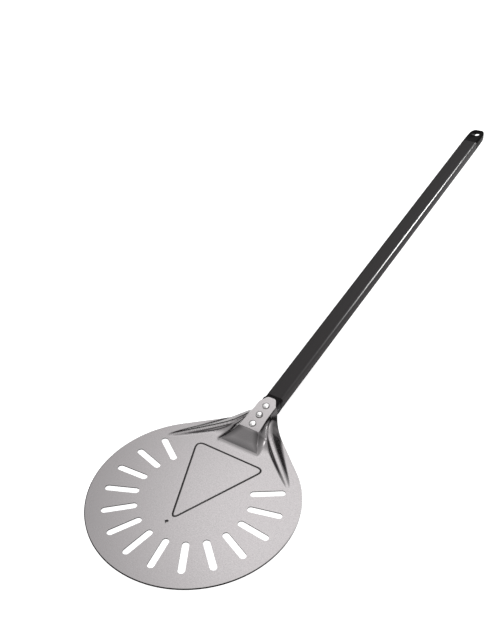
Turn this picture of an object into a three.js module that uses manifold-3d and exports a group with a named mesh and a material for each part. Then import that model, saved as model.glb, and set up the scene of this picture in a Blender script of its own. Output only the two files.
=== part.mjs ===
// A turning peel for pizza: a round slotted steel blade riveted to a long flat black handle.
// Millimetres, +Z up. The origin is the centre of the blade's disc on its underside,
// and the handle leaves along +Y, rising a little on its way.

import * as THREE from "three";
import { mergeVertices } from "three/addons/utils/BufferGeometryUtils.js";
import Module from "manifold-3d";

const wasm = await Module();
wasm.setup();

// ---- driving dimensions ----

const GAP = 0.3; // clearance between pieces that touch
const FIT = 0.35; // clearance between the tube and what plugs into it
const OVERSHOOT = 1; // how far a joined or cutting solid runs past a face
const REACH = 20; // half-length of a cutter that goes right through
const MERGE_DISTANCE = 1e-4;

const BLADE = {
  radius: 101.5,
  sheet: 1,
  shoulderAngle: 42, // degrees from +Y where the rim leaves the circle for the neck
  shoulderEnd: new THREE.Vector2(32, 107.6),
  neckBend: new THREE.Vector2(20, 118),
  neckHalfWidth: 11.6,
  neckEnd: 134,
  arcSteps: 120,
  dotRadius: 1.5,
  dotDepth: 0.6,
  dotCentre: new THREE.Vector2(-3.6, -36.4),
};

const SLOTS = { count: 14, pitch: 19, centreRadius: 69.5, length: 33.5, width: 6.7 };

// The handle's own frame: its origin is the axis point above the blade's neck.
const HANDLE = {
  originY: 140,
  originZ: 6.5,
  rise: 7.84, // degrees
  width: 19.8,
  height: 13.6,
  farScale: 1.14, // the section at the cap's tip against the section at the neck
  corner: 3.1,
  plugCorner: 1.5,
  wall: 1.3,
  start: 9.5,
  length: 626.5, // start of the tube to the tip of the cap
};
HANDLE.tip = HANDLE.start + HANDLE.length;

const CAP = {
  visible: 46,
  plug: 30,
  slotWidth: 10,
  slotLength: 25,
  endWall: 2.8,
  backHalfHeight: 8.4, // of the side profile where the cap meets the tube
  noseRadius: 6,
  curveSteps: 20,
};

// The raised tongue: a flat plate over the handle's core, in the handle's frame.
const TONGUE = {
  top: 9.2,
  frontHalfWidth: 11.7,
  halfWidth: 10.1,
  tipHalfWidth: 4,
  bendAt: -42.2,
  chamferAt: -5.5,
  tipAt: 3.8,
  slopeFootY: 76.8,
  slopeFootHalfWidth: 22.2,
};

// Half-widths of the pressed channel under the tongue, where it meets the flat sheet.
const CHANNEL_FEET = [
  { y: 87.3, halfWidth: 25 },
  { y: 97, halfWidth: 22.5 },
  { y: 110, halfWidth: 17 },
  { y: 121, halfWidth: 13 },
  { y: 131, halfWidth: 11 },
];

const RIB = {
  from: new THREE.Vector2(70, 55.5),
  to: new THREE.Vector2(13, 112.5),
  startHalfWidth: 3,
  endHalfWidth: 6.5,
  startHeight: 0.3,
  endHeight: 8,
  sides: 12,
};

const CORE = {
  halfWidth: 8.8,
  collarHalfWidth: 9.9,
  flangeHalfHeight: 6.7,
  front: -40,
  collarFrom: -4.5,
  shoulderAt: 4.2,
  spigotTo: 60,
  floorZ: 0.4, // the core stays this far above the blade's underside
  corner: 2.2,
  pocketRadius: 5.4,
  pocketDepth: 2.4,
};

const RIVET = { places: [-35.2, -21.9, -8.6], headRadius: 3.8, shankRadius: 2.3, tailRadius: 3.3 };
const RIVET_NAMES = ["front", "middle", "rear"];
const HEAD_HEIGHTS = [1.5, 2.3, 1.5]; // the middle head stands taller
const TAIL_HEIGHT = 0.9;
const WASHER = { radius: 4.9, thickness: 0.8 };
const ROUND_SEGMENTS = 40;

const rise = THREE.MathUtils.degToRad(HANDLE.rise);

// ---- solids ----

// A closed three.js geometry as a manifold solid.
function solid(geometry) {
  const bare = geometry.clone();
  bare.deleteAttribute("normal");
  bare.deleteAttribute("uv");
  const merged = mergeVertices(bare, MERGE_DISTANCE);
  return new wasm.Manifold(
    new wasm.Mesh({
      numProp: 3,
      vertProperties: new Float32Array(merged.attributes.position.array),
      triVerts: new Uint32Array(merged.index.array),
    }),
  );
}

// A manifold solid back as a three.js geometry.
function geometryOf(body) {
  const mesh = body.getMesh();
  const geometry = new THREE.BufferGeometry();
  geometry.setAttribute("position", new THREE.BufferAttribute(mesh.vertProperties, 3));
  geometry.setIndex(new THREE.BufferAttribute(mesh.triVerts, 1));
  geometry.computeVertexNormals();
  return geometry;
}

// A flat outline raised to a thickness along +Z, with its foot at z.
function slab(shape, thickness, z = 0) {
  const options = { depth: thickness, bevelEnabled: false, curveSegments: BLADE.arcSteps };
  return new THREE.ExtrudeGeometry(shape, options).translate(0, 0, z);
}

function roundedRectangle(halfWidth, halfHeight, radius) {
  const shape = new THREE.Shape();
  shape.moveTo(halfWidth, radius - halfHeight);
  shape.lineTo(halfWidth, halfHeight - radius);
  shape.absarc(halfWidth - radius, halfHeight - radius, radius, 0, Math.PI / 2);
  shape.lineTo(radius - halfWidth, halfHeight);
  shape.absarc(radius - halfWidth, halfHeight - radius, radius, Math.PI / 2, Math.PI);
  shape.lineTo(-halfWidth, radius - halfHeight);
  shape.absarc(radius - halfWidth, radius - halfHeight, radius, Math.PI, 1.5 * Math.PI);
  shape.lineTo(halfWidth - radius, -halfHeight);
  shape.absarc(halfWidth - radius, radius - halfHeight, radius, 1.5 * Math.PI, 2 * Math.PI);
  return shape;
}

// The section of what plugs into the tube.
function tubeFilling() {
  const clear = HANDLE.wall + FIT;
  return roundedRectangle(HANDLE.width / 2 - clear, HANDLE.height / 2 - clear, HANDLE.plugCorner);
}

// A straight bar of one section, running along +Y from one place to another.
function barAlongY(section, from, to) {
  const options = { depth: to - from, bevelEnabled: false, curveSegments: 6 };
  const bar = new THREE.ExtrudeGeometry(section, options);
  return bar.rotateX(-Math.PI / 2).translate(0, from, 0);
}

// A slot with round ends, centred at the origin and running along +Y.
function stadium(length, width) {
  const radius = width / 2;
  const reach = length / 2 - radius;
  const shape = new THREE.Shape();
  shape.absarc(0, reach, radius, 0, Math.PI);
  shape.absarc(0, -reach, radius, Math.PI, 2 * Math.PI);
  shape.closePath();
  return shape;
}

function stadiumSlab(length, width, thickness, z) {
  const options = { depth: thickness, bevelEnabled: false, curveSegments: 10 };
  return new THREE.ExtrudeGeometry(stadium(length, width), options).translate(0, 0, z);
}

// Widens a bar along +Y in step with the handle's flare.
function flared(bar) {
  const position = bar.attributes.position;
  for (let i = 0; i < position.count; i++) {
    const y = position.getY(i);
    const scale = 1 + ((HANDLE.farScale - 1) * (y - HANDLE.start)) / HANDLE.length;
    position.setXYZ(i, position.getX(i) * scale, y, position.getZ(i) * scale);
  }
  return bar;
}

function roundBar(radius, from, to) {
  const bar = new THREE.CylinderGeometry(radius, radius, to - from, ROUND_SEGMENTS);
  return bar.rotateX(Math.PI / 2).translate(0, 0, (from + to) / 2);
}

// A box whose lengthwise rows of corners are put in place one by one: corners(row) gives the
// half-width and height of its top edge and of its foot.
function stationBody(rows) {
  const box = new THREE.BoxGeometry(2, rows.length - 1, 1, 1, rows.length - 1, 1);
  const position = box.attributes.position;
  for (let i = 0; i < position.count; i++) {
    const row = rows[Math.round(position.getY(i) + (rows.length - 1) / 2)];
    const isTop = position.getZ(i) > 0;
    const halfWidth = isTop ? row.topHalfWidth : row.footHalfWidth;
    position.setXYZ(i, position.getX(i) * halfWidth, row.y, isTop ? row.topZ : row.footZ);
  }
  return box;
}

// ---- the blade ----

const fromHandle = new THREE.Matrix4()
  .makeTranslation(0, HANDLE.originY, HANDLE.originZ)
  .multiply(new THREE.Matrix4().makeRotationX(rise));

// Height of the tongue's top face over the blade's underside.
function tongueZ(y) {
  const onFace = new THREE.Vector3(0, 0, TONGUE.top).applyMatrix4(fromHandle);
  return onFace.z + (y - onFace.y) * Math.tan(rise);
}

function bladeOutline() {
  const shoulder = THREE.MathUtils.degToRad(90 - BLADE.shoulderAngle);
  const shape = new THREE.Shape();
  shape.absarc(0, 0, BLADE.radius, Math.PI - shoulder, 2 * Math.PI + shoulder);
  const { shoulderEnd, neckBend, neckHalfWidth, neckEnd } = BLADE;
  shape.lineTo(shoulderEnd.x, shoulderEnd.y);
  shape.quadraticCurveTo(neckBend.x, neckBend.y, neckHalfWidth, neckEnd);
  shape.lineTo(-neckHalfWidth, neckEnd);
  shape.quadraticCurveTo(-neckBend.x, neckBend.y, -shoulderEnd.x, shoulderEnd.y);
  shape.closePath();
  return shape;
}

function tongueOutline() {
  const { frontHalfWidth, halfWidth, tipHalfWidth, bendAt, chamferAt, tipAt } = TONGUE;
  const shape = new THREE.Shape();
  shape.moveTo(frontHalfWidth, bendAt);
  shape.lineTo(halfWidth, (bendAt + chamferAt) / 2);
  shape.lineTo(halfWidth, chamferAt);
  shape.lineTo(tipHalfWidth, tipAt);
  shape.lineTo(-tipHalfWidth, tipAt);
  shape.lineTo(-halfWidth, chamferAt);
  shape.lineTo(-halfWidth, (bendAt + chamferAt) / 2);
  shape.lineTo(-frontHalfWidth, bendAt);
  shape.closePath();
  return shape;
}

// Stations of the raised channel: its slope, its bend and its walls back to the neck's end.
// An inset of one sheet thickness gives the hollow underneath.
function channelRows(inset, footZ, endY) {
  const bendY = new THREE.Vector3(0, TONGUE.bendAt, TONGUE.top).applyMatrix4(fromHandle).y;
  const slope = (tongueZ(bendY) - BLADE.sheet) / (bendY - TONGUE.slopeFootY);
  const startY = TONGUE.slopeFootY - 1.5 + 2 * inset;
  const onSlope = (y) => BLADE.sheet + slope * (y - TONGUE.slopeFootY);
  const widthAt = (y) =>
    THREE.MathUtils.mapLinear(
      y, TONGUE.slopeFootY, bendY, TONGUE.slopeFootHalfWidth, TONGUE.frontHalfWidth);
  const row = (y, topZ, topHalfWidth, footHalfWidth) => ({
    y,
    topZ: topZ - inset,
    footZ,
    topHalfWidth: topHalfWidth - inset,
    footHalfWidth: footHalfWidth - inset,
  });
  const rows = [row(startY, onSlope(startY) + inset / 2, widthAt(startY), widthAt(startY) + 0.4)];
  for (const foot of CHANNEL_FEET) {
    const sloping = foot.y < bendY;
    const top = sloping ? onSlope(foot.y) : tongueZ(foot.y);
    const width = sloping ? widthAt(foot.y) : taperedTongue(foot.y, bendY);
    rows.push(row(foot.y, top, width, foot.halfWidth));
  }
  const last = CHANNEL_FEET.at(-1).halfWidth;
  rows.push(row(endY, tongueZ(endY), TONGUE.halfWidth, last));
  return rows;
}

function taperedTongue(y, bendY) {
  const narrowY = (bendY + BLADE.neckEnd) / 2;
  const share = THREE.MathUtils.clamp((y - bendY) / (narrowY - bendY), 0, 1);
  return THREE.MathUtils.lerp(TONGUE.frontHalfWidth, TONGUE.halfWidth, share);
}

// A pressed rib that widens and rises on its way to the neck. The hollow under it is smaller by
// the sheet's thickness all round, and open below.
function rib(side, hollow) {
  const inset = hollow ? BLADE.sheet : 0;
  const length = RIB.from.distanceTo(RIB.to);
  const section = new THREE.Shape();
  section.absarc(0, 0, 1, 0, Math.PI);
  section.closePath();
  const options = { depth: 1, steps: 8, bevelEnabled: false, curveSegments: RIB.sides };
  const bar = new THREE.ExtrudeGeometry(section, options);
  const position = bar.attributes.position;
  for (let i = 0; i < position.count; i++) {
    const along = position.getZ(i);
    const halfWidth = THREE.MathUtils.lerp(RIB.startHalfWidth, RIB.endHalfWidth, along) - inset;
    const height = THREE.MathUtils.lerp(RIB.startHeight, RIB.endHeight, along);
    const crown = hollow ? height : height + BLADE.sheet;
    const foot = hollow ? -1 : 0.2;
    const up = position.getY(i);
    const z = up > 1e-6 ? Math.max(up * crown, foot) : foot;
    position.setXYZ(i, position.getX(i) * halfWidth, along * length, z);
  }
  const turn = Math.atan2(RIB.from.x - RIB.to.x, RIB.to.y - RIB.from.y);
  bar.rotateZ(turn).translate(RIB.from.x, RIB.from.y, 0).scale(side, 1, 1);
  const body = solid(bar);
  return body.volume() < 0 ? solid(flipped(bar)) : body;
}

// The same geometry with its faces turned round.
function flipped(geometry) {
  const plain = geometry.index ? geometry.toNonIndexed() : geometry.clone();
  const p = plain.attributes.position;
  const a = new THREE.Vector3();
  const b = new THREE.Vector3();
  for (let i = 0; i < p.count; i += 3) {
    a.fromBufferAttribute(p, i);
    b.fromBufferAttribute(p, i + 1);
    p.setXYZ(i, b.x, b.y, b.z);
    p.setXYZ(i + 1, a.x, a.y, a.z);
  }
  return plain;
}

function bladeGeometry() {
  let body = solid(slab(bladeOutline(), BLADE.sheet));
  body = body.add(solid(stationBody(channelRows(0, 0.2, BLADE.neckEnd - 1))));
  const tongue = slab(tongueOutline(), BLADE.sheet, TONGUE.top - BLADE.sheet);
  body = body.add(solid(tongue.applyMatrix4(fromHandle)));
  for (const side of [-1, 1]) {
    body = body.add(rib(side, false));
  }
  body = body.subtract(solid(stationBody(channelRows(BLADE.sheet, -2, BLADE.neckEnd + 20))));
  for (const side of [-1, 1]) {
    body = body.subtract(rib(side, true));
  }
  for (let i = 0; i < SLOTS.count; i++) {
    const angle = THREE.MathUtils.degToRad((i - (SLOTS.count - 1) / 2) * SLOTS.pitch);
    const slot = stadiumSlab(
      SLOTS.length, SLOTS.width, BLADE.sheet + 2 * OVERSHOOT, -OVERSHOOT);
    slot.translate(0, -SLOTS.centreRadius, 0).rotateZ(angle);
    body = body.subtract(solid(slot));
  }
  const dot = roundBar(BLADE.dotRadius, BLADE.sheet - BLADE.dotDepth, BLADE.sheet + OVERSHOOT);
  body = body.subtract(solid(dot.translate(BLADE.dotCentre.x, BLADE.dotCentre.y, 0)));
  for (const place of RIVET.places) {
    const hole = roundBar(
      RIVET.shankRadius + GAP, TONGUE.top - BLADE.sheet - 2 * OVERSHOOT, TONGUE.top + OVERSHOOT);
    body = body.subtract(solid(hole.translate(0, place, 0).applyMatrix4(fromHandle)));
  }
  return geometryOf(body);
}

// ---- the handle, in its own frame ----

// Where the core's underside lies below a place on the handle's axis.
function coreUnderside(place) {
  return (CORE.floorZ - HANDLE.originZ - place * Math.sin(rise)) / Math.cos(rise);
}

function pocketFloor(place) {
  return coreUnderside(place) + CORE.pocketDepth;
}

function coreGeometry() {
  const padTop = TONGUE.top - BLADE.sheet - GAP;
  const rear = HANDLE.start - GAP;
  const side = new THREE.Shape();
  side.moveTo(CORE.front, padTop);
  side.lineTo(CORE.front, coreUnderside(CORE.front));
  side.lineTo(0, coreUnderside(0));
  side.lineTo(CORE.shoulderAt, coreUnderside(0));
  side.lineTo(CORE.shoulderAt, padTop);
  side.closePath();
  const padBody = solid(sideways(side, CORE.halfWidth));
  const collarFloor = coreUnderside(CORE.collarFrom);
  const collarHalf = (padTop - collarFloor) / 2;
  const collar = barAlongY(
    roundedRectangle(CORE.collarHalfWidth, collarHalf, CORE.corner),
    CORE.collarFrom,
    CORE.shoulderAt,
  ).translate(0, 0, padTop - collarHalf);
  const flange = barAlongY(
    roundedRectangle(CORE.collarHalfWidth, CORE.flangeHalfHeight, HANDLE.corner),
    CORE.shoulderAt - OVERSHOOT,
    rear,
  );
  const spigot = barAlongY(tubeFilling(), rear - OVERSHOOT, CORE.spigotTo);
  let body = padBody.add(solid(collar)).add(solid(flange)).add(solid(spigot));
  for (const place of RIVET.places) {
    const bore = roundBar(RIVET.shankRadius + GAP, -REACH, REACH).translate(0, place, 0);
    const pocket = roundBar(CORE.pocketRadius, -REACH, pocketFloor(place)).translate(0, place, 0);
    body = body.subtract(solid(bore)).subtract(solid(pocket));
  }
  return geometryOf(body);
}

// A side profile (along the handle, up) given its width across X.
function sideways(profile, halfWidth) {
  const options = { depth: 2 * halfWidth, bevelEnabled: false };
  const body = new THREE.ExtrudeGeometry(profile, options);
  const turn = new THREE.Matrix4().makeBasis(
    new THREE.Vector3(0, 1, 0),
    new THREE.Vector3(0, 0, 1),
    new THREE.Vector3(1, 0, 0),
  );
  return body.applyMatrix4(turn).translate(-halfWidth, 0, 0);
}

function tubeGeometry() {
  const section = roundedRectangle(HANDLE.width / 2, HANDLE.height / 2, HANDLE.corner);
  section.holes.push(
    roundedRectangle(
      HANDLE.width / 2 - HANDLE.wall,
      HANDLE.height / 2 - HANDLE.wall,
      HANDLE.corner - HANDLE.wall,
    ),
  );
  return flared(barAlongY(section, HANDLE.start, HANDLE.tip - CAP.visible - GAP));
}

// The cap's side profile (along the handle, up): it thins towards a rounded nose.
function capProfile() {
  const back = HANDLE.tip - CAP.visible - OVERSHOOT;
  const { noseRadius, backHalfHeight } = CAP;
  const noseAt = HANDLE.tip - noseRadius;
  const profile = new THREE.Shape();
  profile.moveTo(back, -backHalfHeight);
  profile.lineTo(noseAt, -noseRadius);
  profile.absarc(noseAt, 0, noseRadius, -Math.PI / 2, Math.PI / 2);
  profile.lineTo(back, backHalfHeight);
  profile.closePath();
  return profile;
}

// The cap's outline from above: straight sides and a half-round end.
function capPlan() {
  const back = HANDLE.tip - CAP.visible - OVERSHOOT;
  const radius = (HANDLE.width / 2) * HANDLE.farScale;
  const plan = new THREE.Shape();
  plan.moveTo(-radius - OVERSHOOT, back);
  plan.lineTo(radius + OVERSHOOT, back);
  plan.lineTo(radius, HANDLE.tip - radius);
  plan.absarc(0, HANDLE.tip - radius, radius, 0, Math.PI);
  plan.closePath();
  return plan;
}

// The cap: a flared bar with a rounded end, a hanging slot through it and a plug in the tube.
function capGeometry() {
  const front = HANDLE.tip - CAP.visible;
  const section = roundedRectangle(HANDLE.width / 2, HANDLE.height / 2, HANDLE.corner);
  const bar = flared(barAlongY(section, front, HANDLE.tip));
  const options = { depth: 2 * REACH, bevelEnabled: false, curveSegments: CAP.curveSteps };
  const plan = new THREE.ExtrudeGeometry(capPlan(), options).translate(0, 0, -REACH);
  const plug = barAlongY(tubeFilling(), front - CAP.plug, front + OVERSHOOT);
  const slot = stadiumSlab(CAP.slotLength, CAP.slotWidth, 2 * REACH, -REACH);
  slot.translate(0, HANDLE.tip - CAP.endWall - CAP.slotLength / 2, 0);
  const body = solid(bar)
    .intersect(solid(plan))
    .intersect(solid(sideways(capProfile(), REACH)))
    .add(solid(plug))
    .subtract(solid(slot));
  return geometryOf(body);
}

// A rivet on +Z: domed head over the tongue, shank through the core, and its set tail.
function rivetGeometry(index) {
  const seat = TONGUE.top + 0.05;
  const crown = seat + HEAD_HEIGHTS[index];
  const tailTop = pocketFloor(RIVET.places[index]) - WASHER.thickness - 2 * GAP;
  const edge = 0.5;
  const { headRadius, shankRadius, tailRadius } = RIVET;
  const profile = [
    new THREE.Vector2(0, tailTop - TAIL_HEIGHT),
    new THREE.Vector2(tailRadius - edge, tailTop - TAIL_HEIGHT),
    new THREE.Vector2(tailRadius, tailTop - TAIL_HEIGHT + edge),
    new THREE.Vector2(tailRadius, tailTop),
    new THREE.Vector2(shankRadius, tailTop),
    new THREE.Vector2(shankRadius, seat),
    new THREE.Vector2(headRadius, seat),
    new THREE.Vector2(headRadius, crown - 2 * edge),
    new THREE.Vector2(headRadius - edge, crown - edge / 2),
    new THREE.Vector2(0, crown),
  ];
  return new THREE.LatheGeometry(profile, ROUND_SEGMENTS).rotateX(Math.PI / 2);
}

function washerGeometry(index) {
  const top = pocketFloor(RIVET.places[index]) - GAP;
  const bore = RIVET.shankRadius + GAP;
  const profile = [
    new THREE.Vector2(bore, top - WASHER.thickness),
    new THREE.Vector2(WASHER.radius, top - WASHER.thickness),
    new THREE.Vector2(WASHER.radius, top),
    new THREE.Vector2(bore, top),
    new THREE.Vector2(bore, top - WASHER.thickness),
  ];
  return new THREE.LatheGeometry(profile, ROUND_SEGMENTS).rotateX(Math.PI / 2);
}

// ---- materials and assembly ----

const satinSteel = new THREE.MeshStandardMaterial({ color: 0xb4b0ae, roughness: 0.38, metalness: 1 });
const brightSteel = new THREE.MeshStandardMaterial({ color: 0xdcdad8, roughness: 0.25, metalness: 1 });
const blackAluminium = new THREE.MeshStandardMaterial({ color: 0x2e2c2d, roughness: 0.5, metalness: 0.6 });
const blackNylon = new THREE.MeshStandardMaterial({ color: 0x0c0c0d, roughness: 0.35, metalness: 0 });

function part(name, geometry, material) {
  const mesh = new THREE.Mesh(geometry, material);
  mesh.name = name;
  return mesh;
}

const peel = new THREE.Group();
peel.add(part("blade", bladeGeometry(), satinSteel));

const handle = new THREE.Group();
handle.position.set(0, HANDLE.originY, HANDLE.originZ);
handle.rotation.x = rise;
handle.add(part("handle_core", coreGeometry(), blackNylon));
handle.add(part("handle_tube", tubeGeometry(), blackAluminium));
handle.add(part("end_cap", capGeometry(), blackNylon));
RIVET.places.forEach((place, index) => {
  const rivet = part("rivet_" + RIVET_NAMES[index], rivetGeometry(index), brightSteel);
  rivet.position.y = place;
  const washer = part("washer_" + RIVET_NAMES[index], washerGeometry(index), brightSteel);
  washer.position.y = place;
  handle.add(rivet, washer);
});
peel.add(handle);

export default peel;
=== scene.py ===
"""A turning peel: a pressed, slotted steel blade riveted to a flat black handle."""
import math

import bmesh
import bpy
import numpy as np
from mathutils import Matrix, Vector


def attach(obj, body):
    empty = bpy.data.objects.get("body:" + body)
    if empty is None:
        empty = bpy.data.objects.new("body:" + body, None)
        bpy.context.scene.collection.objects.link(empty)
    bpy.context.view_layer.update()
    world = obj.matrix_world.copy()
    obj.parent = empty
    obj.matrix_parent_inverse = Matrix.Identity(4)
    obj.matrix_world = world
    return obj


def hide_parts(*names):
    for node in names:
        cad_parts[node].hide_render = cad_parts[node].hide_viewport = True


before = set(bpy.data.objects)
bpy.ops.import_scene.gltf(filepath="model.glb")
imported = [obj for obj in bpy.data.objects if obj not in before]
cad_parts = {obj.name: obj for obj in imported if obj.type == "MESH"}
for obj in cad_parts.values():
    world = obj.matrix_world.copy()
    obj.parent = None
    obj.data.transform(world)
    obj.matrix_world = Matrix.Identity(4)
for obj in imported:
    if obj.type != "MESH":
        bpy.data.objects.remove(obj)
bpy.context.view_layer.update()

MM = 0.001
BODY = "root"

# ---- camera and stage, in metres ----

CAMERA_PLACE = Vector((0.3273, -0.3919, 0.5569))
CAMERA_RIGHT = Vector((0.84563, 0.53325, -0.02373))
CAMERA_AHEAD = Vector((-0.45227, 0.69218, -0.56244))
CAMERA_LENS = 45.585
CAMERA_SENSOR = 36.0
CAMERA_SEES_FROM = 0.01
CAMERA_SEES_TO = 50.0
FLOOR_Z = -0.0002
FLOOR_SIZE = 6.0
FLOOR_CENTRE_Y = 0.3
FLOOR_TONE = 0.9
FLOOR_ROUGHNESS = 0.9
FLOOR_GLOW = 0.82

# The room: how bright it is by the cosine of the angle from its brightest point, and where its
# dark screen stands, by the height and the depth of the direction looked in.
LIGHT_FROM = (-0.335, 0.555, 0.76)
LIGHT_STOPS = (
    (0.0, 0.4), (0.22, 0.06), (0.5, 0.07), (0.7, 0.2), (0.92, 0.32),
    (0.965, 0.37), (0.986, 0.64), (0.996, 1.0),
)
LIGHT_STRENGTH = 3.28
SCREEN_TOP = (0.42, 0.64)
SCREEN_SIDE = (0.05, -0.35)
SCREEN_FOOT = (0.16, 0.04)
GROUND_LEVEL = 0.28

# Each lamp: its place, what it points at, its size and its power.
RIVET_LAMP = ((-0.04, 0.46, 2.0), (0, 0.1, 0), 0.5, 7)
CORNER_LAMP = ((-0.04, 0.46, 2.0), (0, 0.1, 0), 0.4, 3)
RIDGE_LAMP = ((0.95, 1.95, 1.35), (0, 0.35, 0.05), 0.8, 7000)

# ---- finishes ----

# Tone, roughness, the roughness's spread, and how much brighter the painted highlight on the tall places
# makes them.
BLADE_FINISH = ((0.228, 0.217, 0.220), 0.22, 0.05, 1.15)
RIVET_FINISH = ((0.62, 0.61, 0.61), 0.22, 0.03, 1.0)
# Tone, roughness and shine.
TUBE_FINISH = ((0.054, 0.051, 0.052), 0.3, 0.004)
NYLON_FINISH = ((0.012, 0.0112, 0.0116), 0.3, 0.02)
# Scale, detail and strength.
STEEL_GRAIN = (900.0, 3.0, 0.12)
BLACK_GRAIN = (700.0, 2.0, 0.15)
GRAIN_DEPTH = 0.0001
GRAIN_SPAN = (0.3, 0.7)

# Punched edges, with the pressed slice line and the dot, darkened as painted shade and made rougher:
# their painted tone as a share of the steel's, and the largest upward lean of their normals.
PAINTED_EDGE_SHADE_TONE = 0.05
CUT_EDGE_ROUGHNESS = 0.65
UPRIGHT = 0.3
# The painted shade band on the top face along the rim, and between which two places along the blade it
# fades in.
RIM_SHADE_WIDTH = 0.9
RIM_SHADE_FADES = (20.0, -60.0)
# The heights between which a painted highlight makes the steel brighter, and how much painted shade
# darkens the slope near its bends.
PAINTED_HIGHLIGHT_HEIGHTS = (9.6, 10.4)
# Painted shade on the slope near its foot and side bends.
PAINTED_BEND_SHADE = 0.62
PAINTED_BEND_SHADE_REACH = 7.0

# ---- shared by the pieces, in millimetres ----

GAP = 0.3  # between two pieces that meet
FIT = 0.35  # around a piece that plugs into another
SKIN = 0.05  # a height that counts as touching
TINY = 1e-7  # in metres: two points this close are the same
OVERSHOOT = 5.0
DRILL_REACH = 20.0

# ---- the blade, in millimetres, heights over its underside ----

SHEET = 1.0
DISC_RADIUS = 101.5
SHOULDER_ANGLE = 42.0
SHOULDER_END = (32.0, 107.6)
RIM_STEPS = 260
NECK_BEND = (20.0, 118.0)
NECK_HALF_WIDTH = 11.7
NECK_END = 134.0
NECK_CUT = (117.0, 150.0)
CUT_HEIGHTS = (-5.0, 35.0)

SLOT_COUNT = 14
SLOT_PITCH = 19.0
SLOT_CENTRE = 69.5
SLOT_LENGTH = 33.5
SLOT_WIDTH = 6.7
DOT_RADIUS = 1.5
DOT_DEPTH = 0.6
DOT_CENTRE = (-3.6, -36.4)

# The pressed line: a slice of pizza, its crust towards the handle.
SLICE_CORNERS = ((-40.2, 62.1), (-2.2, -32.7), (40.0, 62.0))
SLICE_ROUNDING = (10.0, 8.5, 9.0)
# How much painted shade the slice line and the dot get, as a share of the punched edges'.
SLICE_PAINTED_SHADE = 0.65
SLICE_DEPTH = 0.6
SLICE_HALF_WIDTH = 0.8

# The handle's frame over the blade's.
HANDLE_Y = 140.0
HANDLE_Z = 6.5
HANDLE_RISE = math.radians(7.84)

# The tongue, in the handle's frame.
TONGUE_TOP = 9.2
TONGUE_FRONT_HALF = 11.7
TONGUE_HALF = 10.1
TONGUE_TIP_HALF = 4.0
TONGUE_BEND = -42.2
TONGUE_CHAMFER = -5.5
TONGUE_TIP = 3.8
TONGUE_LIFT = 0.25
TONGUE_TIP_CORNERS = ((1.6, -1.5), (0.0, -0.3), (-1.5, 0.0))

# The slope up to the tongue, and the walls beside it.
SLOPE_FOOT_Y = 76.8
SLOPE_FOOT_HALF = 22.2
SLOPE_CROWN = 0.8
SLOPE_INSET = 0.4
BEND_ROUNDING = 0.7
WALL_ROUNDING = 0.5
VALLEY_ROUNDING = 3.0
FOOT_ROUNDING = 0.6
WALL_STEEPNESS = 0.62
NECK_WALL_STEEPNESS = 1.6
NECK_BLEND = 18.0
EAR_PROFILE = (
    (112.0, 0.1), (133.6, 0.1), (133.6, 5.8), (133.0, 6.4), (131.0, 7.2), (118.0, 8.4), (112.0, 8.0),
)
EAR_GAP = 0.4
EAR_THICKNESS = 1.1

# Each rib's crest, with its height and the widths of its two walls at each of its points.
RIB_PATH = (
    (71.5, 53.5), (58.0, 66.0), (44.5, 78.5), (32.0, 90.5), (21.5, 101.5), (15.0, 111.0), (12.6, 121.0),
)
RIB_SAMPLES = 140
RIB_HEIGHT = (0.0, 1.5, 2.6, 3.7, 5.2, 7.2, 7.2)
RIB_INNER = (2.6, 4.0, 5.0, 5.4, 5.4, 4.6, 4.0)
RIB_OUTER = (1.8, 5.2, 7.6, 9.8, 12.6, 16.2, 15.0)
RIB_OUTER_SLOPE = 0.5
RIB_CREST = 0.3
RIB_SHOULDER = 0.8
WEB_FROM = 86.0
WEB_RISE = 0.33
WEB_TOP = 8.0
WEB_FADE = 4.0
WEB_ROUNDING = 3.0
WEB_JOIN = 1.5

# The grid the sheet is pressed from, and how near the presswork and the slice each halving reaches.
GRID_CELLS = 80
GRID_HALF = 128.0
GRID_CENTRE_Y = 18.0
NEAR_RIB = 7.0
BEFORE_SLOPE = 2.0
BESIDE_SLOPE = 6.0
NOWHERE = -1e9
HALVINGS = ((5.0, 5.0), (1.0, 3.0), (NOWHERE, 1.6))

# ---- rivets and washers ----

# Places along the handle's axis.
RIVET_PLACES = (-35.2, -21.9, -8.6)
RIVET_NAMES = ("front", "middle", "rear")
SHANK_RADIUS = 2.3
HEAD_RADIUS = 3.8
HEAD_RISES = (1.5, 2.3, 1.5)
HEAD_WALL_SHARE = 0.35
HEAD_FULLNESS = 0.8
TAIL_RADIUS = 3.3
TAIL_HEIGHT = 0.9
TAIL_CORNER = (0.5, 0.4)
WASHER_RADIUS = 4.9
WASHER_THICKNESS = 0.8
WASHER_EDGE = 0.15
POCKET_DEPTH = 2.4
POCKET_RADIUS = 5.4
PUNCH_CLEARANCE = 0.1
PUNCH_REACH = 8.0

# ---- the handle ----

HANDLE_WIDTH = 19.8
HANDLE_HEIGHT = 13.6
HANDLE_FLARE = 1.14
HANDLE_CORNER = 3.1
TUBE_WALL = 1.3
TUBE_EDGE = 0.25
TUBE_START = 9.5
CAP_TIP = 636.0
CAP_VISIBLE = 46.0
CAP_END_WALL = 2.8
CAP_SLOT_LENGTH = 23.0
CAP_SLOT_WIDTH = 11.5
CAP_SLOT_CORNER = 4.0
CAP_EDGE = 0.7
CAP_ROUNDING = 21.0
CAP_NOSE_LENGTH = 13.0
CAP_STATIONS = range(0, 85, 6)
CAP_TIP_LEFT = 0.1
CAP_THINNING = 0.3

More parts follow.
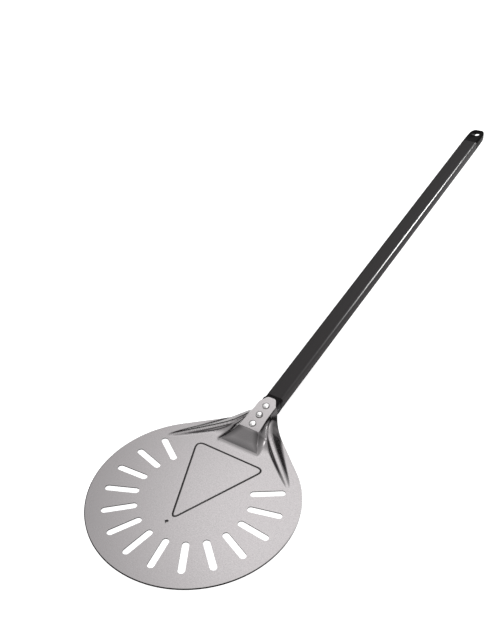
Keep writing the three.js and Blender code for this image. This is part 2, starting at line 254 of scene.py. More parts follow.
CORE_FLOOR = 0.4
CORE_FRONT = -40.0
CORE_HALF = 8.8
CORE_EDGE = 0.3
COLLAR_FROM = -22.5
COLLAR_HALF = 9.9
COLLAR_EDGE = 1.6
FLANGE_EDGE = 0.6
FLANGE_INSET = 0.1
FLANGE_OVERLAP = 1.0
SPIGOT_OVERLAP = 1.5
SPIGOT_CORNER = 1.5
CORE_SHOULDER = 4.2
SPIGOT_TO = 60.0


def material(name):
    """A new material with its node tree and its shader."""
    made = bpy.data.materials.new(name)
    made.use_nodes = True
    tree = made.node_tree
    return made, tree, tree.nodes["Principled BSDF"]


def ranged(tree, value, span, levels=(0.0, 1.0), smooth=False):
    """A node output that goes between two levels while a value goes through a span."""
    made = tree.nodes.new("ShaderNodeMapRange")
    if smooth:
        made.interpolation_type = "SMOOTHSTEP"
    for name, number in zip(("From Min", "From Max", "To Min", "To Max"), (*span, *levels)):
        made.inputs[name].default_value = number
    tree.links.new(value, made.inputs["Value"])
    return made.outputs["Result"]


def computed(tree, operation, first, second):
    """A node output: one operation of arithmetic on two values."""
    made = tree.nodes.new("ShaderNodeMath")
    made.operation = operation
    tree.links.new(first, made.inputs[0])
    tree.links.new(second, made.inputs[1])
    return made.outputs["Value"]


def faded(tree, share, colour, toward):
    """A colour output that fades by a share toward a fixed colour."""
    made = tree.nodes.new("ShaderNodeMix")
    made.data_type = "RGBA"
    made.inputs["B"].default_value = (*toward, 1)
    tree.links.new(share, made.inputs["Factor"])
    tree.links.new(colour, made.inputs["A"])
    return made.outputs["Result"]


def attribute_output(tree, name):
    """The value of one of a mesh's attributes, as a node output."""
    made = tree.nodes.new("ShaderNodeAttribute")
    made.attribute_name = name
    return made.outputs["Fac"]


def place_output(tree):
    """A point's place in its piece's own coordinates, as a node output."""
    return tree.nodes.new("ShaderNodeTexCoord").outputs["Object"]


def piece_from(shape, name):
    """A finished bmesh as an object in the scene."""
    mesh = bpy.data.meshes.new(name)
    shape.to_mesh(mesh)
    shape.free()
    made = bpy.data.objects.new(name, mesh)
    bpy.context.scene.collection.objects.link(made)
    return made


def bake(made):
    """Makes an object's modifiers part of its mesh."""
    bpy.context.view_layer.update()
    seen = made.evaluated_get(bpy.context.evaluated_depsgraph_get())
    mesh = bpy.data.meshes.new_from_object(seen)
    made.modifiers.clear()
    made.data = mesh


def combine(made, tool, operation):
    """Joins or cuts with another object, which is used up."""
    step = made.modifiers.new(operation, "BOOLEAN")
    step.operation = operation
    step.solver = "EXACT"
    step.object = tool
    bake(made)
    bpy.data.objects.remove(tool)


def smoothed(made, crease):
    """Shades a piece smooth, but for edges sharper than a crease angle in degrees."""
    made.data.shade_smooth()
    made.data.set_sharp_from_angle(angle=math.radians(crease))
    return made


# ---- camera, floor and lights ----

def add_camera():
    """The camera, aimed by its right and its ahead directions."""
    data = bpy.data.cameras.new("camera")
    data.sensor_width = CAMERA_SENSOR
    data.lens = CAMERA_LENS
    data.clip_start = CAMERA_SEES_FROM
    data.clip_end = CAMERA_SEES_TO
    camera = bpy.data.objects.new("camera", data)
    bpy.context.scene.collection.objects.link(camera)
    right = CAMERA_RIGHT.normalized()
    ahead = CAMERA_AHEAD.normalized()
    up = right.cross(ahead)
    turn = Matrix((right, up, -ahead)).transposed().to_4x4()
    camera.matrix_world = Matrix.Translation(CAMERA_PLACE) @ turn
    bpy.context.scene.camera = camera


def add_floor():
    """A plain pale floor that glows a little, so that shadows stay faint."""
    shape = bmesh.new()
    bmesh.ops.create_grid(shape, x_segments=1, y_segments=1, size=FLOOR_SIZE / 2)
    bmesh.ops.translate(shape, verts=shape.verts, vec=(0, FLOOR_CENTRE_Y, FLOOR_Z))
    floor = piece_from(shape, "floor")
    made, tree, shader = material("floor_paper")
    shader.inputs["Base Color"].default_value = (FLOOR_TONE, FLOOR_TONE, FLOOR_TONE, 1)
    shader.inputs["Roughness"].default_value = FLOOR_ROUGHNESS
    shader.inputs["Emission Color"].default_value = (1, 1, 1, 1)
    shader.inputs["Emission Strength"].default_value = FLOOR_GLOW
    floor.data.materials.append(made)


def add_lamp(name, lamp, lit):
    """A soft lamp that only shows in the shiny faces of the given pieces."""
    place, aim, size, power = lamp
    data = bpy.data.lights.new(name, "AREA")
    data.energy = power
    data.size = size
    light = bpy.data.objects.new(name, data)
    bpy.context.scene.collection.objects.link(light)
    light.location = place
    light.visible_diffuse = False
    chosen = bpy.data.collections.new(name + "_lights_up")
    for piece in lit:
        chosen.objects.link(piece)
    light.light_linking.receiver_collection = chosen
    light.rotation_euler = (Vector(aim) - Vector(place)).to_track_quat("-Z", "Y").to_euler()


def soft_light(tree, sight):
    """The room's colour output: brightest in one direction, dim beside it, pale again behind."""
    toward = tree.nodes.new("ShaderNodeVectorMath")
    toward.operation = "DOT_PRODUCT"
    toward.inputs[1].default_value = Vector(LIGHT_FROM).normalized()
    tree.links.new(sight, toward.inputs[0])
    ramp = tree.nodes.new("ShaderNodeValToRGB")
    ramp.color_ramp.interpolation = "EASE"
    tree.links.new(toward.outputs["Value"], ramp.inputs["Fac"])
    stops = ramp.color_ramp.elements
    for at, _ in LIGHT_STOPS[1:-1]:
        stops.new(at)
    for stop, (at, level) in zip(stops, LIGHT_STOPS):
        stop.position = at
        stop.color = (level, level, level, 1)
    return ramp.outputs["Color"]


def add_world():
    """A pale room with one broad soft light overhead, towards the handle's side, and a dark
    screen standing low behind the handle."""
    world = bpy.data.worlds.new("studio")
    world.use_nodes = True
    tree = world.node_tree
    sight = tree.nodes.new("ShaderNodeTexCoord").outputs["Generated"]
    way = tree.nodes.new("ShaderNodeSeparateXYZ")
    tree.links.new(sight, way.inputs["Vector"])
    above = ranged(tree, way.outputs["Z"], SCREEN_TOP, smooth=True)
    behind = ranged(tree, way.outputs["Y"], SCREEN_SIDE, smooth=True)
    ground = ranged(tree, way.outputs["Z"], SCREEN_FOOT, smooth=True)
    clear = computed(tree, "MAXIMUM", computed(tree, "MAXIMUM", above, behind), ground)
    colour = faded(tree, ground, soft_light(tree, sight), (GROUND_LEVEL,) * 3)
    strength = ranged(tree, clear, (0.0, 1.0), (0.0, LIGHT_STRENGTH), smooth=True)
    back = tree.nodes["Background"]
    tree.links.new(strength, back.inputs["Strength"])
    tree.links.new(colour, back.inputs["Color"])
    bpy.context.scene.world = world


# ---- outlines ----

def arc(centre, radius, start, end, steps):
    """Points of an arc, in degrees anticlockwise from +X."""
    turns = [math.radians(start + (end - start) * i / steps) for i in range(steps + 1)]
    return [(centre[0] + radius * math.cos(t), centre[1] + radius * math.sin(t)) for t in turns]


def circle(centre, radius, steps=36):
    """Points of a whole circle, each once."""
    return arc(centre, radius, 0, 360 - 360 / steps, steps - 1)


def neck_curve(steps=24):
    """The concave edge from a shoulder to the neck, on the right side."""
    start, bend, end = Vector(SHOULDER_END), Vector(NECK_BEND), Vector((NECK_HALF_WIDTH, NECK_END))
    shares = [i / steps for i in range(steps + 1)]
    return [tuple((1 - t) ** 2 * start + 2 * t * (1 - t) * bend + t * t * end) for t in shares]


def blade_outline():
    """The disc's rim, its straight shoulders and the neck, as a closed run of points."""
    shoulder = 90 - SHOULDER_ANGLE
    rim = arc((0, 0), DISC_RADIUS, 180 - shoulder, 360 + shoulder, RIM_STEPS)
    right = neck_curve()
    left = [(-x, y) for x, y in reversed(right)]
    return rim + right + left


def stadium_outline(length, width, steps=14):
    """A slot with half-round ends, along Y."""
    reach = (length - width) / 2
    top = arc((0, reach), width / 2, 0, 180, steps)
    return top + arc((0, -reach), width / 2, 180, 360, steps)


def prism(shape, outline, low, high, place=None):
    """Adds an upright prism over an outline, in metres, moved to a place."""
    ring = [shape.verts.new((x * MM, y * MM, low * MM)) for x, y in outline]
    foot = shape.faces.new(ring)
    grown = bmesh.ops.extrude_face_region(shape, geom=[foot])
    lifted = [v for v in grown["geom"] if isinstance(v, bmesh.types.BMVert)]
    bmesh.ops.translate(shape, verts=lifted, vec=(0, 0, (high - low) * MM))
    made = ring + lifted
    if place is not None:
        bmesh.ops.transform(shape, matrix=place, verts=made)
    bmesh.ops.recalc_face_normals(shape, faces=list({f for v in made for f in v.link_faces}))
    return made


def handle_place():
    """The handle's own frame: along its axis, tilted up from the blade."""
    place = Vector((0, HANDLE_Y, HANDLE_Z)) * MM
    return Matrix.Translation(place) @ Matrix.Rotation(HANDLE_RISE, 4, "X")


# ---- heights of the pressed sheet, in millimetres over the flat face ----

def tongue_height(y):
    """The tongue's top face over the flat sheet's top face."""
    face_y = HANDLE_Y - TONGUE_TOP * math.sin(HANDLE_RISE)
    face_z = HANDLE_Z + TONGUE_TOP * math.cos(HANDLE_RISE)
    return face_z - SHEET + (y - face_y) * math.tan(HANDLE_RISE)


def softer(a, b, reach, sign):
    """The larger (sign 1) or smaller (sign -1) of two heights, rounded over a reach."""
    gap = np.clip(0.5 + 0.5 * sign * (a - b) / reach, 0, 1)
    return b + (a - b) * gap + sign * reach * gap * (1 - gap)


def slope_edge(share):
    """Half the slope's width at a share of its way up, from its foot to the tongue."""
    return SLOPE_FOOT_HALF + (TONGUE_FRONT_HALF - SLOPE_INSET - SLOPE_FOOT_HALF) * share


def bend_y():
    """Where the slope meets the tongue."""
    return HANDLE_Y + TONGUE_BEND * math.cos(HANDLE_RISE) - TONGUE_TOP * math.sin(HANDLE_RISE)


def boss_height(x, y):
    """The raised boss: a slope up from the disc, a top under the tongue and two side walls."""
    across = np.abs(x)
    bend = bend_y()
    slope = (tongue_height(bend) - TONGUE_LIFT) / (bend - SLOPE_FOOT_Y)
    share = np.clip((y - SLOPE_FOOT_Y) / (bend - SLOPE_FOOT_Y), 0, 1)
    edge = slope_edge(share)
    bulge = 4 * share * (1 - share)
    rising = slope * (y - SLOPE_FOOT_Y) - SLOPE_CROWN * bulge * (across / edge) ** 2
    top = softer(rising, tongue_height(y) - TONGUE_LIFT, BEND_ROUNDING, -1)
    neck = np.clip((y - bend) / NECK_BLEND, 0, 1)
    edge = edge + (TONGUE_HALF - TONGUE_FRONT_HALF) * neck
    steep = WALL_STEEPNESS + (NECK_WALL_STEEPNESS - WALL_STEEPNESS) * neck
    wall = top + steep * (edge - across)
    return softer(top, wall, WALL_ROUNDING, -1)


def along_path(points, values, samples):
    """A smooth curve through points, with values that change along it."""
    steps = np.linspace(0, len(points) - 1, samples)
    index = np.arange(len(points))
    knots = np.array(points, float)
    plain = [np.interp(steps, index, knots[:, 0]), np.interp(steps, index, knots[:, 1])]
    kernel = np.hanning(samples // len(points) * 2 + 1)
    kernel /= kernel.sum()
    pad = len(kernel) // 2
    smooth = []
    for line in plain + [np.interp(steps, index, np.array(v, float)) for v in values]:
        wide = np.concatenate([2 * line[0] - line[pad:0:-1], line, 2 * line[-1] - line[-2:-pad - 2:-1]])
        smooth.append(np.convolve(wide, kernel, "valid"))
    return smooth


def rib_height(x, y):
    """A pressed rib on each side, which rises and widens on its way to the neck. Its outer
    wall is the gentler one, and near the neck a web fills the valley between rib and boss."""
    px, py, tall, inner, outer = along_path(RIB_PATH, (RIB_HEIGHT, RIB_INNER, RIB_OUTER), RIB_SAMPLES)
    across = np.abs(x)
    gaps = (across[:, None] - px) ** 2 + (y[:, None] - py) ** 2
    near = gaps.argmin(1)
    side = (across - px[near]) + (y - py[near])
    gap = np.sqrt(gaps[np.arange(len(x)), near])
    crest = tall[near]
    fall = np.clip((1 - gap / inner[near]) / (1 - RIB_CREST), 0, 1)
    inner_wall = crest * fall ** 2 * (3 - 2 * fall)
    outer_wall = softer(crest, RIB_OUTER_SLOPE * (outer[near] - gap), RIB_SHOULDER, -1)
    rib = np.where(side > 0, np.maximum(outer_wall, 0), inner_wall)
    web = softer((y - WEB_FROM) * WEB_RISE, np.zeros_like(y), WEB_ROUNDING, 1)
    web = np.minimum(web * np.clip(0.5 - side / WEB_FADE, 0, 1), WEB_TOP)
    return softer(rib, web, WEB_JOIN, 1)


def slice_outline(steps=10):
    """The pressed slice: a triangle with rounded corners, as a closed run of points."""
    run = []
    for i, rounding in enumerate(SLICE_ROUNDING):
        here = Vector(SLICE_CORNERS[i])
        before = (Vector(SLICE_CORNERS[i - 1]) - here).normalized()
        after = (Vector(SLICE_CORNERS[(i + 1) % 3]) - here).normalized()
        start, end = here + before * rounding, here + after * rounding
        for k in range(steps + 1):
            t = k / steps
            run.append((1 - t) ** 2 * start + 2 * t * (1 - t) * here + t * t * end)
    return run


def slice_distance(x, y):
    """How far each point is from the pressed slice's line."""
    run = slice_outline()
    best = np.full(len(x), np.inf)
    for a, b in zip(run, run[1:] + run[:1]):
        side = b - a
        along = (x - a.x) * side.x + (y - a.y) * side.y
        t = np.clip(along / max(side.length_squared, 1e-9), 0, 1)
        best = np.minimum(best, np.hypot(x - a.x - t * side.x, y - a.y - t * side.y))
    return best


def sheet_height(x, y):
    """The presswork's height. Rounding its foot lifts the flat sheet a little, which is taken off."""
    pressed = softer(boss_height(x, y), rib_height(x, y), VALLEY_ROUNDING, 1)
    lift = FOOT_ROUNDING / 4 * np.exp(-(pressed / FOOT_ROUNDING) ** 2)
    raised = softer(pressed, np.zeros_like(x), FOOT_ROUNDING, 1) - lift
    line = np.clip(1 - slice_distance(x, y) / SLICE_HALF_WIDTH, 0, 1)
    return raised - SLICE_DEPTH * line


def press_measure(x, y):
    """How close a point is to a pressed feature: 0 on it, growing away from it."""
    px, py = along_path(RIB_PATH, (), RIB_SAMPLES)
    rib = np.sqrt(((np.abs(x)[:, None] - px) ** 2 + (y[:, None] - py) ** 2).min(1)) - NEAR_RIB
    boss = np.maximum(SLOPE_FOOT_Y - BEFORE_SLOPE - y, np.abs(x) - SLOPE_FOOT_HALF - BESIDE_SLOPE)
    return np.minimum(rib, boss)


def corners_of(shape):
    """The places of a shape's points seen from above, in millimetres."""
    co = np.array([v.co[:2] for v in shape.verts]) / MM
    return co[:, 0], co[:, 1]


def refine(shape, wanted):
    """Halves the faces of a grid whose centres are wanted."""
    centres = np.array([f.calc_center_median()[:2] for f in shape.faces]) / MM
    chosen = wanted(centres[:, 0], centres[:, 1])
    shape.faces.ensure_lookup_table()
    quads = [f for f, c in zip(shape.faces, chosen) if c and len(f.verts) == 4]
    edges = list({e for f in quads for e in f.edges})
    bmesh.ops.subdivide_edges(shape, edges=edges, cuts=1, use_grid_fill=True)


def pressed_sheet():
    """The sheet before it is trimmed: a grid, finer near the presswork, lifted to its height."""
    shape = bmesh.new()
    bmesh.ops.create_grid(shape, x_segments=GRID_CELLS, y_segments=GRID_CELLS, size=GRID_HALF * MM)
    bmesh.ops.translate(shape, verts=shape.verts, vec=(0, GRID_CENTRE_Y * MM, 0))
    for press, line in HALVINGS:
        refine(shape, lambda x, y: (press_measure(x, y) < press) | (slice_distance(x, y) < line))
    bmesh.ops.triangulate(shape, faces=shape.faces, quad_method="BEAUTY", ngon_method="BEAUTY")
    x, y = corners_of(shape)
    heights = sheet_height(x, y)
    for v, h in zip(shape.verts, heights):
        v.co.z = (h + SHEET) * MM
    bmesh.ops.recalc_face_normals(shape, faces=shape.faces)
    if sum(f.normal.z for f in shape.faces) < 0:
        bmesh.ops.reverse_faces(shape, faces=shape.faces)
    made = piece_from(shape, "blade_sheet")
    wall = made.modifiers.new("thickness", "SOLIDIFY")
    wall.thickness = SHEET * MM
    wall.offset = -1
    wall.use_even_offset = True
    wall.thickness_clamp = 0
    bake(made)
    for v in made.data.vertices:
        v.co.z = max(v.co.z, 0)
    return made


def tongue_outline():
    """The flat tongue that lies over the handle's core, in the handle's frame."""
    middle = (TONGUE_BEND + TONGUE_CHAMFER) / 2
    right = [(TONGUE_FRONT_HALF, TONGUE_BEND), (TONGUE_HALF, middle), (TONGUE_HALF, TONGUE_CHAMFER)]
    right += [(TONGUE_TIP_HALF + x, TONGUE_TIP + y) for x, y in TONGUE_TIP_CORNERS]
    return right + [(-x, y) for x, y in reversed(right)]


def build_blade():
    """The pressed sheet, trimmed and punched, with its tongue and ears joined on."""
    blade = pressed_sheet()
    shape = bmesh.new()
    prism(shape, blade_outline(), *CUT_HEIGHTS)
    combine(blade, piece_from(shape, "trim"), "INTERSECT")

    shape = bmesh.new()
    for i in range(SLOT_COUNT):
        turn = math.radians((i - (SLOT_COUNT - 1) / 2) * SLOT_PITCH)
        place = Matrix.Rotation(turn, 4, "Z") @ Matrix.Translation((0, -SLOT_CENTRE * MM, 0))
        prism(shape, stadium_outline(SLOT_LENGTH, SLOT_WIDTH), *CUT_HEIGHTS, place)
    prism(shape, circle(DOT_CENTRE, DOT_RADIUS, 24), SHEET - DOT_DEPTH, CUT_HEIGHTS[1])
    room = TONGUE_HALF + FIT
    start, end = NECK_CUT
    prism(shape, [(-room, start), (room, start), (room, end), (-room, end)], *CUT_HEIGHTS)
    combine(blade, piece_from(shape, "punches"), "DIFFERENCE")
    combine(blade, rivet_punches(), "DIFFERENCE")

    shape = bmesh.new()
    prism(shape, tongue_outline(), TONGUE_TOP - SHEET, TONGUE_TOP, handle_place())
    tongue = piece_from(shape, "tongue")
    combine(tongue, rivet_punches(), "DIFFERENCE")
    combine(tongue, ears(), "UNION")
    combine(blade, tongue, "UNION")
    mark_painted_edge_shade(blade)
    mark_painted_slope_shade(blade)
    return smoothed(blade, 38)


def mark_painted_slope_shade(blade):
    """Marks how close each point of the slope is to its foot and side bends, where painted shade darkens
    it.
    """
    marks = blade.data.attributes.new("painted_bend_shade", "FLOAT", "POINT")
    points = np.array([v.co for v in blade.data.vertices]) / MM
    across, y = np.abs(points[:, 0]), points[:, 1]
    share = (y - SLOPE_FOOT_Y) / (bend_y() - SLOPE_FOOT_Y)
    edge = slope_edge(share)
    inside = (share > 0) & (share < 1) & (across < edge)
    bend = np.minimum(y - SLOPE_FOOT_Y, edge - across)
    shade = np.where(inside, np.clip(1 - bend / PAINTED_BEND_SHADE_REACH, 0, 1), 0)
    marks.data.foreach_set("value", shade)


def mark_painted_edge_shade(blade):
    """Marks where shade is painted: fully on the upright faces the punch left on the flat sheet, in part
    on the pressed slice line and the dot.
    """
    marks = blade.data.attributes.new("painted_edge_shade", "FLOAT", "FACE")
    flat_top = (SHEET + SKIN) * MM
    for face, mark in zip(blade.data.polygons, marks.data):
        mark.value = float(abs(face.normal.z) < UPRIGHT and face.center.z < flat_top)
    centres = np.array([face.center[:2] for face in blade.data.polygons]) / MM
    near = slice_distance(centres[:, 0], centres[:, 1]) < SLICE_HALF_WIDTH
    near |= np.hypot(*(centres - DOT_CENTRE).T) < DOT_RADIUS + SKIN
    for index in np.flatnonzero(near):
        if blade.data.polygons[index].center.z > SHEET * MM / 4:
            marks.data[index].value = SLICE_PAINTED_SHADE


def drill(places, radius, low, high, name):
    """Round bars at places along the handle, to cut with."""
    shape = bmesh.new()
    for place in places:
        prism(shape, circle((0, place), radius), low, high, handle_place())
    return piece_from(shape, name)


def rivet_punches():
    """Bars that punch the rivet holes through the tongue."""
    low, high = TONGUE_TOP - PUNCH_REACH, TONGUE_TOP + PUNCH_REACH
    return drill(RIVET_PLACES, SHANK_RADIUS + PUNCH_CLEARANCE, low, high, "rivet_punches")


def standing(side=1):
    """Turns a prism so that its outline stands lengthwise and its height runs across."""
    return Matrix(((0, 0, side, 0), (1, 0, 0, 0), (0, 1, 0, 0), (0, 0, 0, 1)))


def lengthwise():
    """Turns a prism so that its height runs along the handle."""
    return Matrix(((1, 0, 0, 0), (0, 0, 1, 0), (0, 1, 0, 0), (0, 0, 0, 1)))


def ears():
    """The neck's upright walls beside the core."""
    shape = bmesh.new()
    start = TONGUE_HALF + EAR_GAP
    for side in (-1, 1):
        prism(shape, EAR_PROFILE, start, start + EAR_THICKNESS, standing(side))
    return piece_from(shape, "ears")


# ---- the handle's pieces, in its own frame ----

def rounded_rectangle(half_width, half_height, corner, steps=8):
    """A rectangle with rounded corners, as a closed run of points."""
    x, y = half_width - corner, half_height - corner
    ring = arc((x, y), corner, 0, 90, steps) + arc((-x, y), corner, 90, 180, steps)
    return ring + arc((-x, -y), corner, 180, 270, steps) + arc((x, -y), corner, 270, 360, steps)


def flare_at(place):
    """How much wider the handle is at a place than at its front end."""
    return 1 + (HANDLE_FLARE - 1) * (place - TUBE_START) / (CAP_TIP - TUBE_START)


def round_edges(shape, edges, reach, steps):
    """Rounds some edges of a shape by a reach in millimetres."""
    bmesh.ops.bevel(
        shape, geom=edges, offset=reach * MM, segments=steps, profile=0.5, affect="EDGES", material=-1
    )


def bar_along(shape, section, start, end, flared=True, edge=0.0):
    """Adds a bar along the handle; its section grows with the handle's flare."""
    verts = prism(shape, section, start, end, lengthwise())
    if flared:
        for v in verts:
            grown = flare_at(v.co.y / MM)
            v.co.x *= grown
            v.co.z *= grown
    if edge:
        around = {e for v in verts for e in v.link_edges}
        rims = [e for e in around if abs(e.verts[0].co.y - e.verts[1].co.y) < TINY]
        rims = [e for e in rims if any(len(f.verts) > 4 for f in e.link_faces)]
        round_edges(shape, rims, edge, 3)
    return verts


def finish_handle_piece(made):
    """Moves a piece from the handle's own frame to the scene, and shades it."""
    made.data.transform(handle_place())
    return smoothed(made, 32)


def build_tube():
    """The hollow handle, which widens a little towards its end."""
    end = CAP_TIP - CAP_VISIBLE - GAP
    half_width, half_height = HANDLE_WIDTH / 2, HANDLE_HEIGHT / 2
    shape = bmesh.new()
    section = rounded_rectangle(half_width, half_height, HANDLE_CORNER)
    bar_along(shape, section, TUBE_START, end, edge=TUBE_EDGE)
    tube = piece_from(shape, "handle_tube_look")
    shape = bmesh.new()
    inner = (length - TUBE_WALL for length in (half_width, half_height, HANDLE_CORNER))
    bar_along(shape, rounded_rectangle(*inner), TUBE_START - OVERSHOOT, end + OVERSHOOT)
    combine(tube, piece_from(shape, "bore"), "DIFFERENCE")
    return finish_handle_piece(tube)


def core_floor(place):
    """Where the core's underside lies under a place on the handle's axis."""
    return (CORE_FLOOR - HANDLE_Z - place * math.sin(HANDLE_RISE)) / math.cos(HANDLE_RISE)


def core_block(name, start, end, half_width, top, edge):
    """A block from the core's underside to its top, with softened lengthwise edges."""
    shape = bmesh.new()
    profile = [(start, core_floor(start)), (end, core_floor(min(end, 0))), (end, top), (start, top)]
    if end > 0:
        profile.insert(1, (0, core_floor(0)))
    prism(shape, profile, -half_width, half_width, standing())
    edges = [e for e in shape.edges if e.is_manifold and e.calc_face_angle() > 1]
    round_edges(shape, edges, edge, 4)
    return piece_from(shape, name)


def build_core():
    """The moulded core: a block and collar under the tongue, a flange and a spigot in the tube."""
    top = TONGUE_TOP - SHEET - GAP
    core = core_block("handle_core_look", CORE_FRONT, CORE_SHOULDER, CORE_HALF, top, CORE_EDGE)
    collar = core_block("collar", COLLAR_FROM, CORE_SHOULDER, COLLAR_HALF, top, COLLAR_EDGE)
    combine(core, collar, "UNION")
    shape = bmesh.new()
    flange = rounded_rectangle(COLLAR_HALF, HANDLE_HEIGHT / 2 - FLANGE_INSET, HANDLE_CORNER)
    start, end = CORE_SHOULDER - FLANGE_OVERLAP, TUBE_START - GAP
    bar_along(shape, flange, start, end, flared=False, edge=FLANGE_EDGE)
    combine(core, piece_from(shape, "flange"), "UNION")
    shape = bmesh.new()
    clear = TUBE_WALL + FIT
    spigot = rounded_rectangle(HANDLE_WIDTH / 2 - clear, HANDLE_HEIGHT / 2 - clear, SPIGOT_CORNER)
    bar_along(shape, spigot, TUBE_START - SPIGOT_OVERLAP, SPIGOT_TO, flared=False)
    combine(core, piece_from(shape, "spigot"), "UNION")
    core.data.transform(handle_place())
    bores = drill(RIVET_PLACES, SHANK_RADIUS + GAP, -DRILL_REACH, DRILL_REACH, "bores")
    combine(core, bores, "DIFFERENCE")
    for place in RIVET_PLACES:
        floor = core_floor(place) + POCKET_DEPTH
        pocket = drill((place,), POCKET_RADIUS, -DRILL_REACH, floor, "pocket")
        combine(core, pocket, "DIFFERENCE")
    return smoothed(core, 32)


def round_end(shape):
    """Rounds the far end of a bar: a half-round plan and a rounded nose."""
    for turn in CAP_STATIONS:
        station = CAP_TIP - CAP_ROUNDING * (1 - math.sin(math.radians(turn)))
        geom = shape.verts[:] + shape.edges[:] + shape.faces[:]
        bmesh.ops.bisect_plane(shape, geom=geom, plane_co=(0, station * MM, 0), plane_no=(0, 1, 0))
    for v in shape.verts:
        left = max(CAP_TIP - v.co.y / MM, CAP_TIP_LEFT)
        v.co.x *= math.sqrt(1 - max(1 - left / CAP_ROUNDING, 0) ** 2)
        v.co.z *= math.sqrt(1 - max(1 - left / CAP_NOSE_LENGTH, 0) ** 2)
        v.co.z *= 1 - CAP_THINNING * max(1 - left / CAP_VISIBLE, 0)


def build_cap():
    """The end cap, with its slot to hang the peel by."""
    shape = bmesh.new()
    section = rounded_rectangle(HANDLE_WIDTH / 2, HANDLE_HEIGHT / 2, HANDLE_CORNER)
    bar_along(shape, section, CAP_TIP - CAP_VISIBLE, CAP_TIP)
    round_end(shape)
    cap = piece_from(shape, "end_cap_look")

    middle = CAP_TIP - CAP_END_WALL - CAP_SLOT_LENGTH / 2
    slot = rounded_rectangle(CAP_SLOT_WIDTH / 2, CAP_SLOT_LENGTH / 2, CAP_SLOT_CORNER)
    shape = bmesh.new()
    prism(shape, slot, -DRILL_REACH, DRILL_REACH, Matrix.Translation((0, middle * MM, 0)))
    combine(cap, piece_from(shape, "hanging_slot"), "DIFFERENCE")

    soft = cap.modifiers.new("soft_edges", "BEVEL")
    soft.width = CAP_EDGE * MM
    soft.segments = 3
    soft.limit_method = "ANGLE"
    soft.angle_limit = math.radians(60)
    bake(cap)
    return finish_handle_piece(cap)


def lathe(profile, place, name, steps=48):
    """A turned piece: a profile of (radius, height) spun about its own axis."""
    shape = bmesh.new()
    verts = [shape.verts.new((r * MM, 0, z * MM)) for r, z in profile]
    edges = [shape.edges.new(pair) for pair in zip(verts, verts[1:])]
    bmesh.ops.spin(
        shape, geom=verts + edges, cent=(0, 0, 0), axis=(0, 0, 1), angle=math.tau, steps=steps,
        use_merge=True,
    )
    bmesh.ops.remove_doubles(shape, verts=shape.verts, dist=TINY)
    bmesh.ops.translate(shape, verts=shape.verts, vec=(0, place * MM, 0))
    bmesh.ops.recalc_face_normals(shape, faces=shape.faces)
    return finish_handle_piece(piece_from(shape, name))


def build_rivet(name, place, rise):
    """A rivet: a domed head on the tongue, a shank, and a tail under its washer."""
    seat = TONGUE_TOP + SKIN
    tail = core_floor(place) + POCKET_DEPTH - WASHER_THICKNESS - 2 * GAP
    rim = seat + rise * HEAD_WALL_SHARE
    head = [(HEAD_RADIUS, seat), (HEAD_RADIUS, rim)]
    for turn in range(15, 90, 15):
        t = math.radians(turn)
        height = rim + rise * (1 - HEAD_WALL_SHARE) * math.sin(t)
        head.append((HEAD_RADIUS * math.cos(t) ** HEAD_FULLNESS, height))
    head.append((0, seat + rise))
    inset, lift = TAIL_CORNER
    foot = [(0, tail - TAIL_HEIGHT), (TAIL_RADIUS - inset, tail - TAIL_HEIGHT)]
    foot += [(TAIL_RADIUS, tail - lift), (TAIL_RADIUS, tail), (SHANK_RADIUS, tail), (SHANK_RADIUS, seat)]
    return lathe(foot + head, place, "rivet_" + name + "_look")


def build_washer(name, place):
    """A flat ring around a rivet's shank, in its pocket under the core."""
    top = core_floor(place) + POCKET_DEPTH - GAP
    low, bore = top - WASHER_THICKNESS, SHANK_RADIUS + GAP
    inset = WASHER_RADIUS - WASHER_EDGE
    profile = [(bore, low), (inset, low), (WASHER_RADIUS, low + WASHER_EDGE)]
    profile += [(WASHER_RADIUS, top - WASHER_EDGE), (inset, top), (bore, top), (bore, low)]
    return lathe(profile, place, "washer_" + name + "_look")


# ---- materials ----

def painted_rim_shade(tree, place):
    """1 on a painted shade band along the disc's front rim, 0 elsewhere."""
    flat = tree.nodes.new("ShaderNodeCombineXYZ")
    radius = tree.nodes.new("ShaderNodeVectorMath")
    radius.operation = "LENGTH"
    for axis in "XY":
        tree.links.new(place.outputs[axis], flat.inputs[axis])
    tree.links.new(flat.outputs["Vector"], radius.inputs[0])
    shade_band = ((DISC_RADIUS - RIM_SHADE_WIDTH) * MM, (DISC_RADIUS - RIM_SHADE_WIDTH / 2) * MM)
    front = [y * MM for y in RIM_SHADE_FADES]
    edge = ranged(tree, radius.outputs["Value"], shade_band)
    return computed(tree, "MULTIPLY", edge, ranged(tree, place.outputs["Y"], front))


def grained(tree, shader, scale, detail, strength):
    """Presses a fine grain into a finish, and gives its height as a node output."""
    noise = tree.nodes.new("ShaderNodeTexNoise")
    noise.inputs["Scale"].default_value = scale
    noise.inputs["Detail"].default_value = detail
    tree.links.new(place_output(tree), noise.inputs["Vector"])
    dents = tree.nodes.new("ShaderNodeBump")
    dents.inputs["Strength"].default_value = strength
    dents.inputs["Distance"].default_value = GRAIN_DEPTH
    tree.links.new(noise.outputs["Fac"], dents.inputs["Height"])
    tree.links.new(dents.outputs["Normal"], shader.inputs["Normal"])
    return noise.outputs["Fac"]


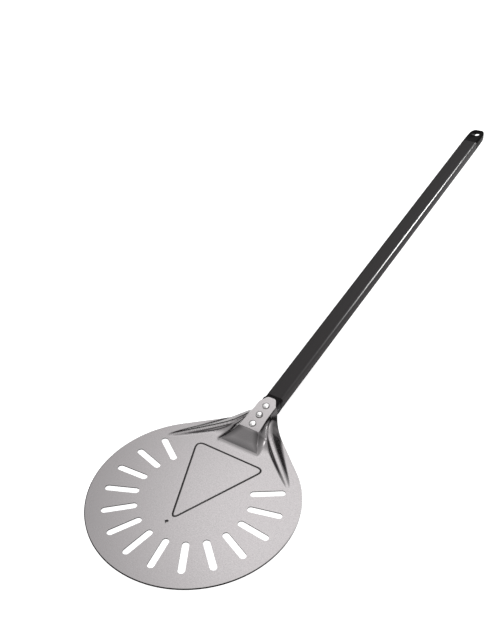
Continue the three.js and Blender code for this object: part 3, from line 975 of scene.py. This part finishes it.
def steel_colour(tree, tone, painted_highlight, place, painted_edge_and_rim_shade):
    """A steel tone, with a painted highlight where the piece stands tall, painted shade along the
    slope's bends, and painted shade on the punched edges, the slice line, the dot and the front rim.
    """
    heights = [z * MM for z in PAINTED_HIGHLIGHT_HEIGHTS]
    # Painted highlight: the tall tongue and boss top are coloured brighter.
    brighter = tree.nodes.new("ShaderNodeMix")
    brighter.data_type = "RGBA"
    brighter.blend_type = "MULTIPLY"
    brighter.inputs["Factor"].default_value = 1.0
    brighter.inputs["A"].default_value = (*tone, 1)
    tree.links.new(ranged(tree, place.outputs["Z"], heights, (1.0, painted_highlight)), brighter.inputs["B"])
    # Painted shade: the slope is darkened toward its foot and side bends.
    painted_bend_mask = attribute_output(tree, "painted_bend_shade")
    shaded = faded(tree, painted_bend_mask, brighter.outputs["Result"], [c * (1 - PAINTED_BEND_SHADE) for c in tone])
    return faded(tree, painted_edge_and_rim_shade, shaded, [c * PAINTED_EDGE_SHADE_TONE for c in tone])


def steel(name, tone, roughness, spread, painted_highlight):
    """Satin stainless steel with a fine grain."""
    made, tree, shader = material(name)
    link = tree.links.new
    shader.inputs["Metallic"].default_value = 1.0
    shader.inputs["Base Color"].default_value = (*tone, 1)
    shader.inputs["Roughness"].default_value = roughness
    grain = grained(tree, shader, *STEEL_GRAIN)
    place = tree.nodes.new("ShaderNodeSeparateXYZ")
    link(place_output(tree), place.inputs["Vector"])
    # Painted shade on the punched edges, the slice line, the dot and the front rim; these places are
    # also rougher.
    painted_edge_and_rim_shade = computed(tree, "MAXIMUM", attribute_output(tree, "painted_edge_shade"), painted_rim_shade(tree, place))
    link(steel_colour(tree, tone, painted_highlight, place, painted_edge_and_rim_shade), shader.inputs["Base Color"])
    rough = tree.nodes.new("ShaderNodeMix")
    rough.data_type = "FLOAT"
    rough.inputs["B"].default_value = CUT_EDGE_ROUGHNESS
    link(painted_edge_and_rim_shade, rough.inputs["Factor"])
    link(ranged(tree, grain, GRAIN_SPAN, (roughness - spread, roughness + spread)), rough.inputs["A"])
    link(rough.outputs["Result"], shader.inputs["Roughness"])
    return made


def black(name, tone, roughness, shine):
    """A dark finish with a faint unevenness."""
    made, tree, shader = material(name)
    shader.inputs["Base Color"].default_value = (*tone, 1)
    shader.inputs["Roughness"].default_value = roughness
    shader.inputs["Specular IOR Level"].default_value = shine
    grained(tree, shader, *BLACK_GRAIN)
    return made


def fit(made, node, finish):
    """Puts a finished piece in the place of its CAD node."""
    made.data.materials.clear()
    made.data.materials.append(finish)
    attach(made, BODY)
    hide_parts(node)


add_camera()
add_floor()
add_world()
bpy.context.scene.view_settings.view_transform = "Standard"

blade_steel = steel("blade_steel", *BLADE_FINISH)
rivet_steel = steel("rivet_steel", *RIVET_FINISH)
tube_black = black("tube_black", *TUBE_FINISH)
nylon_black = black("nylon_black", *NYLON_FINISH)

blade, tube, cap = build_blade(), build_tube(), build_cap()
fit(blade, "blade", blade_steel)
fit(build_core(), "handle_core", nylon_black)
fit(tube, "handle_tube", tube_black)
fit(cap, "end_cap", nylon_black)
add_lamp("ridge_light", RIDGE_LAMP, (tube,))
rivets = [build_rivet(*each) for each in zip(RIVET_NAMES, RIVET_PLACES, HEAD_RISES)]
add_lamp("rivet_light", RIVET_LAMP, rivets)
add_lamp("corner_light", CORNER_LAMP, (blade,))
for name, place, rivet in zip(RIVET_NAMES, RIVET_PLACES, rivets):
    fit(rivet, "rivet_" + name, rivet_steel)
    fit(build_washer(name, place), "washer_" + name, rivet_steel)
